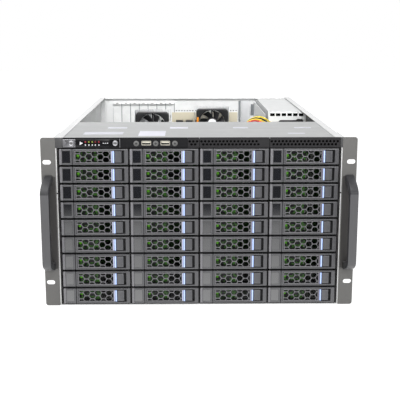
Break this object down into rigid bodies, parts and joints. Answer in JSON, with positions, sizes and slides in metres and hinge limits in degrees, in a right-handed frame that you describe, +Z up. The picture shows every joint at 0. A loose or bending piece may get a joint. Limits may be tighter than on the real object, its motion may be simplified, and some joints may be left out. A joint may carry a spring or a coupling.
{
  "type": "rackmount storage chassis",
  "caption": "Rackmount storage chassis: sliding drive trays with honeycomb levers, rack ears with pull handles, a control strip, and a rear bay open at the top.",
  "frame": {"origin": "under the middle of the whole part, at the underside of the floor", "axes": "+X to the right seen from the front, +Y from the front to the rear, +Z up"},
  "size_m": [0.4826, 0.745, 0.2659],
  "materials": {
    "case_steel": "galvanised, satin",
    "ear_paint": "fine-texture paint",
    "handle_paint": "satin paint",
    "strip_paint": "satin black paint",
    "panel_gloss": "gloss black",
    "button_metal": "satin",
    "tray_plastic": "fine grain",
    "backplane_board": "circuit board",
    "main_board": "circuit board",
    "fan_plastic": "moulded black",
    "cooler_metal": "bare fins",
    "supply_steel": "plain steel",
    "lead_sleeve": "soft sleeve"
  },
  "bodies": {
    "chassis": {"base_pan": "case_steel", "rear_panel": "case_steel", "drive_cage": "case_steel", "top_plate": "case_steel", "rack_ears": "ear_paint", "pull_handles": "handle_paint", "control_strip": "strip_paint", "control_panel": "panel_gloss", "backplane": "backplane_board", "fan_wall": "fan_plastic", "board_deck": "case_steel", "motherboard": "main_board", "cpu_coolers": "cooler_metal", "psu": "supply_steel", "psu_wires": "lead_sleeve"},
    "tray_lever": {"tray_lever": "tray_plastic"},
    "tray_latch": {"tray_latch": "tray_plastic"},
    "power_button": {"power_button": "button_metal"},
    "reset_button": {"reset_button": "button_metal"},
    "fan_rotor_1": {"fan_rotor_1": "fan_plastic"},
    "fan_rotor_2": {"fan_rotor_2": "fan_plastic"},
    "fan_rotor_3": {"fan_rotor_3": "fan_plastic"},
    "cooler_rotor_left": {"cooler_rotor_left": "fan_plastic"},
    "cooler_rotor_right": {"cooler_rotor_right": "fan_plastic"},
    "drive_tray_r1_c1": {"drive_tray_r1_c1": "tray_plastic"},
    "drive_tray_r1_c2": {"drive_tray_r1_c2": "tray_plastic"},
    "drive_tray_r1_c3": {"drive_tray_r1_c3": "tray_plastic"},
    "drive_tray_r1_c4": {"drive_tray_r1_c4": "tray_plastic"},
    "drive_tray_r2_c1": {"drive_tray_r2_c1": "tray_plastic"},
    "drive_tray_r2_c2": {"drive_tray_r2_c2": "tray_plastic"},
    "drive_tray_r2_c3": {"drive_tray_r2_c3": "tray_plastic"},
    "drive_tray_r2_c4": {"drive_tray_r2_c4": "tray_plastic"},
    "drive_tray_r3_c1": {"drive_tray_r3_c1": "tray_plastic"},
    "drive_tray_r3_c2": {"drive_tray_r3_c2": "tray_plastic"},
    "drive_tray_r3_c3": {"drive_tray_r3_c3": "tray_plastic"},
    "drive_tray_r3_c4": {"drive_tray_r3_c4": "tray_plastic"},
    "drive_tray_r4_c1": {"drive_tray_r4_c1": "tray_plastic"},
    "drive_tray_r4_c2": {"drive_tray_r4_c2": "tray_plastic"},
    "drive_tray_r4_c3": {"drive_tray_r4_c3": "tray_plastic"},
    "drive_tray_r4_c4": {"drive_tray_r4_c4": "tray_plastic"},
    "drive_tray_r5_c1": {"drive_tray_r5_c1": "tray_plastic"},
    "drive_tray_r5_c2": {"drive_tray_r5_c2": "tray_plastic"},
    "drive_tray_r5_c3": {"drive_tray_r5_c3": "tray_plastic"},
    "drive_tray_r5_c4": {"drive_tray_r5_c4": "tray_plastic"},
    "drive_tray_r6_c1": {"drive_tray_r6_c1": "tray_plastic"},
    "drive_tray_r6_c2": {"drive_tray_r6_c2": "tray_plastic"},
    "drive_tray_r6_c3": {"drive_tray_r6_c3": "tray_plastic"},
    "drive_tray_r6_c4": {"drive_tray_r6_c4": "tray_plastic"},
    "drive_tray_r7_c1": {"drive_tray_r7_c1": "tray_plastic"},
    "drive_tray_r7_c2": {"drive_tray_r7_c2": "tray_plastic"},
    "drive_tray_r7_c3": {"drive_tray_r7_c3": "tray_plastic"},
    "drive_tray_r7_c4": {"drive_tray_r7_c4": "tray_plastic"},
    "drive_tray_r8_c1": {"drive_tray_r8_c1": "tray_plastic"},
    "drive_tray_r8_c2": {"drive_tray_r8_c2": "tray_plastic"},
    "drive_tray_r8_c3": {"drive_tray_r8_c3": "tray_plastic"},
    "drive_tray_r8_c4": {"drive_tray_r8_c4": "tray_plastic"},
    "drive_tray_r9_c1": {"drive_tray_r9_c1": "tray_plastic"},
    "drive_tray_r9_c2": {"drive_tray_r9_c2": "tray_plastic"},
    "drive_tray_r9_c3": {"drive_tray_r9_c3": "tray_plastic"},
    "drive_tray_r9_c4": {"drive_tray_r9_c4": "tray_plastic"}
  },
  "joints": [
    {"name": "lever_swing", "type": "hinge", "parent": "drive_tray_r1_c1", "child": "tray_lever", "pos_m": [-0.1861, -0.3274, 0.2364], "axis": [0, 0, -1], "range_deg": [0, 60]},
    {"name": "latch_slide", "type": "slide", "parent": "drive_tray_r1_c1", "child": "tray_latch", "axis": [1, 0, 0], "range_m": [0, 0.003], "stiffness_N_per_m": 300},
    {"name": "power_press", "type": "slide", "parent": "chassis", "child": "power_button", "axis": [0, 1, 0], "range_m": [0, 0.0015], "stiffness_N_per_m": 800},
    {"name": "reset_press", "type": "slide", "parent": "chassis", "child": "reset_button", "axis": [0, 1, 0], "range_m": [0, 0.0015], "stiffness_N_per_m": 800},
    {"name": "fan_spin_1", "type": "hinge", "parent": "chassis", "child": "fan_rotor_1", "pos_m": [-0.138, -0.0976, 0.118], "axis": [0, 1, 0], "continuous": true},
    {"name": "fan_spin_2", "type": "hinge", "parent": "chassis", "child": "fan_rotor_2", "pos_m": [0, -0.0976, 0.118], "axis": [0, 1, 0], "continuous": true},
    {"name": "fan_spin_3", "type": "hinge", "parent": "chassis", "child": "fan_rotor_3", "pos_m": [0.138, -0.0976, 0.118], "axis": [0, 1, 0], "continuous": true},
    {"name": "cooler_spin_left", "type": "hinge", "parent": "chassis", "child": "cooler_rotor_left", "pos_m": [-0.093, 0.2045, 0.2171], "axis": [0, 1, 0], "continuous": true},
    {"name": "cooler_spin_right", "type": "hinge", "parent": "chassis", "child": "cooler_rotor_right", "pos_m": [0.037, 0.2725, 0.2171], "axis": [0, 1, 0], "continuous": true},
    {"name": "slide_r1_c1", "type": "slide", "parent": "chassis", "child": "drive_tray_r1_c1", "axis": [0, -1, 0], "range_m": [0, 0.2]},
    {"name": "slide_r1_c2", "type": "slide", "parent": "chassis", "child": "drive_tray_r1_c2", "axis": [0, -1, 0], "range_m": [0, 0.2]},
    {"name": "slide_r1_c3", "type": "slide", "parent": "chassis", "child": "drive_tray_r1_c3", "axis": [0, -1, 0], "range_m": [0, 0.2]},
    {"name": "slide_r1_c4", "type": "slide", "parent": "chassis", "child": "drive_tray_r1_c4", "axis": [0, -1, 0], "range_m": [0, 0.2]},
    {"name": "slide_r2_c1", "type": "slide", "parent": "chassis", "child": "drive_tray_r2_c1", "axis": [0, -1, 0], "range_m": [0, 0.2]},
    {"name": "slide_r2_c2", "type": "slide", "parent": "chassis", "child": "drive_tray_r2_c2", "axis": [0, -1, 0], "range_m": [0, 0.2]},
    {"name": "slide_r2_c3", "type": "slide", "parent": "chassis", "child": "drive_tray_r2_c3", "axis": [0, -1, 0], "range_m": [0, 0.2]},
    {"name": "slide_r2_c4", "type": "slide", "parent": "chassis", "child": "drive_tray_r2_c4", "axis": [0, -1, 0], "range_m": [0, 0.2]},
    {"name": "slide_r3_c1", "type": "slide", "parent": "chassis", "child": "drive_tray_r3_c1", "axis": [0, -1, 0], "range_m": [0, 0.2]},
    {"name": "slide_r3_c2", "type": "slide", "parent": "chassis", "child": "drive_tray_r3_c2", "axis": [0, -1, 0], "range_m": [0, 0.2]},
    {"name": "slide_r3_c3", "type": "slide", "parent": "chassis", "child": "drive_tray_r3_c3", "axis": [0, -1, 0], "range_m": [0, 0.2]},
    {"name": "slide_r3_c4", "type": "slide", "parent": "chassis", "child": "drive_tray_r3_c4", "axis": [0, -1, 0], "range_m": [0, 0.2]},
    {"name": "slide_r4_c1", "type": "slide", "parent": "chassis", "child": "drive_tray_r4_c1", "axis": [0, -1, 0], "range_m": [0, 0.2]},
    {"name": "slide_r4_c2", "type": "slide", "parent": "chassis", "child": "drive_tray_r4_c2", "axis": [0, -1, 0], "range_m": [0, 0.2]},
    {"name": "slide_r4_c3", "type": "slide", "parent": "chassis", "child": "drive_tray_r4_c3", "axis": [0, -1, 0], "range_m": [0, 0.2]},
    {"name": "slide_r4_c4", "type": "slide", "parent": "chassis", "child": "drive_tray_r4_c4", "axis": [0, -1, 0], "range_m": [0, 0.2]},
    {"name": "slide_r5_c1", "type": "slide", "parent": "chassis", "child": "drive_tray_r5_c1", "axis": [0, -1, 0], "range_m": [0, 0.2]},
    {"name": "slide_r5_c2", "type": "slide", "parent": "chassis", "child": "drive_tray_r5_c2", "axis": [0, -1, 0], "range_m": [0, 0.2]},
    {"name": "slide_r5_c3", "type": "slide", "parent": "chassis", "child": "drive_tray_r5_c3", "axis": [0, -1, 0], "range_m": [0, 0.2]},
    {"name": "slide_r5_c4", "type": "slide", "parent": "chassis", "child": "drive_tray_r5_c4", "axis": [0, -1, 0], "range_m": [0, 0.2]},
    {"name": "slide_r6_c1", "type": "slide", "parent": "chassis", "child": "drive_tray_r6_c1", "axis": [0, -1, 0], "range_m": [0, 0.2]},
    {"name": "slide_r6_c2", "type": "slide", "parent": "chassis", "child": "drive_tray_r6_c2", "axis": [0, -1, 0], "range_m": [0, 0.2]},
    {"name": "slide_r6_c3", "type": "slide", "parent": "chassis", "child": "drive_tray_r6_c3", "axis": [0, -1, 0], "range_m": [0, 0.2]},
    {"name": "slide_r6_c4", "type": "slide", "parent": "chassis", "child": "drive_tray_r6_c4", "axis": [0, -1, 0], "range_m": [0, 0.2]},
    {"name": "slide_r7_c1", "type": "slide", "parent": "chassis", "child": "drive_tray_r7_c1", "axis": [0, -1, 0], "range_m": [0, 0.2]},
    {"name": "slide_r7_c2", "type": "slide", "parent": "chassis", "child": "drive_tray_r7_c2", "axis": [0, -1, 0], "range_m": [0, 0.2]},
    {"name": "slide_r7_c3", "type": "slide", "parent": "chassis", "child": "drive_tray_r7_c3", "axis": [0, -1, 0], "range_m": [0, 0.2]},
    {"name": "slide_r7_c4", "type": "slide", "parent": "chassis", "child": "drive_tray_r7_c4", "axis": [0, -1, 0], "range_m": [0, 0.2]},
    {"name": "slide_r8_c1", "type": "slide", "parent": "chassis", "child": "drive_tray_r8_c1", "axis": [0, -1, 0], "range_m": [0, 0.2]},
    {"name": "slide_r8_c2", "type": "slide", "parent": "chassis", "child": "drive_tray_r8_c2", "axis": [0, -1, 0], "range_m": [0, 0.2]},
    {"name": "slide_r8_c3", "type": "slide", "parent": "chassis", "child": "drive_tray_r8_c3", "axis": [0, -1, 0], "range_m": [0, 0.2]},
    {"name": "slide_r8_c4", "type": "slide", "parent": "chassis", "child": "drive_tray_r8_c4", "axis": [0, -1, 0], "range_m": [0, 0.2]},
    {"name": "slide_r9_c1", "type": "slide", "parent": "chassis", "child": "drive_tray_r9_c1", "axis": [0, -1, 0], "range_m": [0, 0.2]},
    {"name": "slide_r9_c2", "type": "slide", "parent": "chassis", "child": "drive_tray_r9_c2", "axis": [0, -1, 0], "range_m": [0, 0.2]},
    {"name": "slide_r9_c3", "type": "slide", "parent": "chassis", "child": "drive_tray_r9_c3", "axis": [0, -1, 0], "range_m": [0, 0.2]},
    {"name": "slide_r9_c4", "type": "slide", "parent": "chassis", "child": "drive_tray_r9_c4", "axis": [0, -1, 0], "range_m": [0, 0.2]}
  ]
}
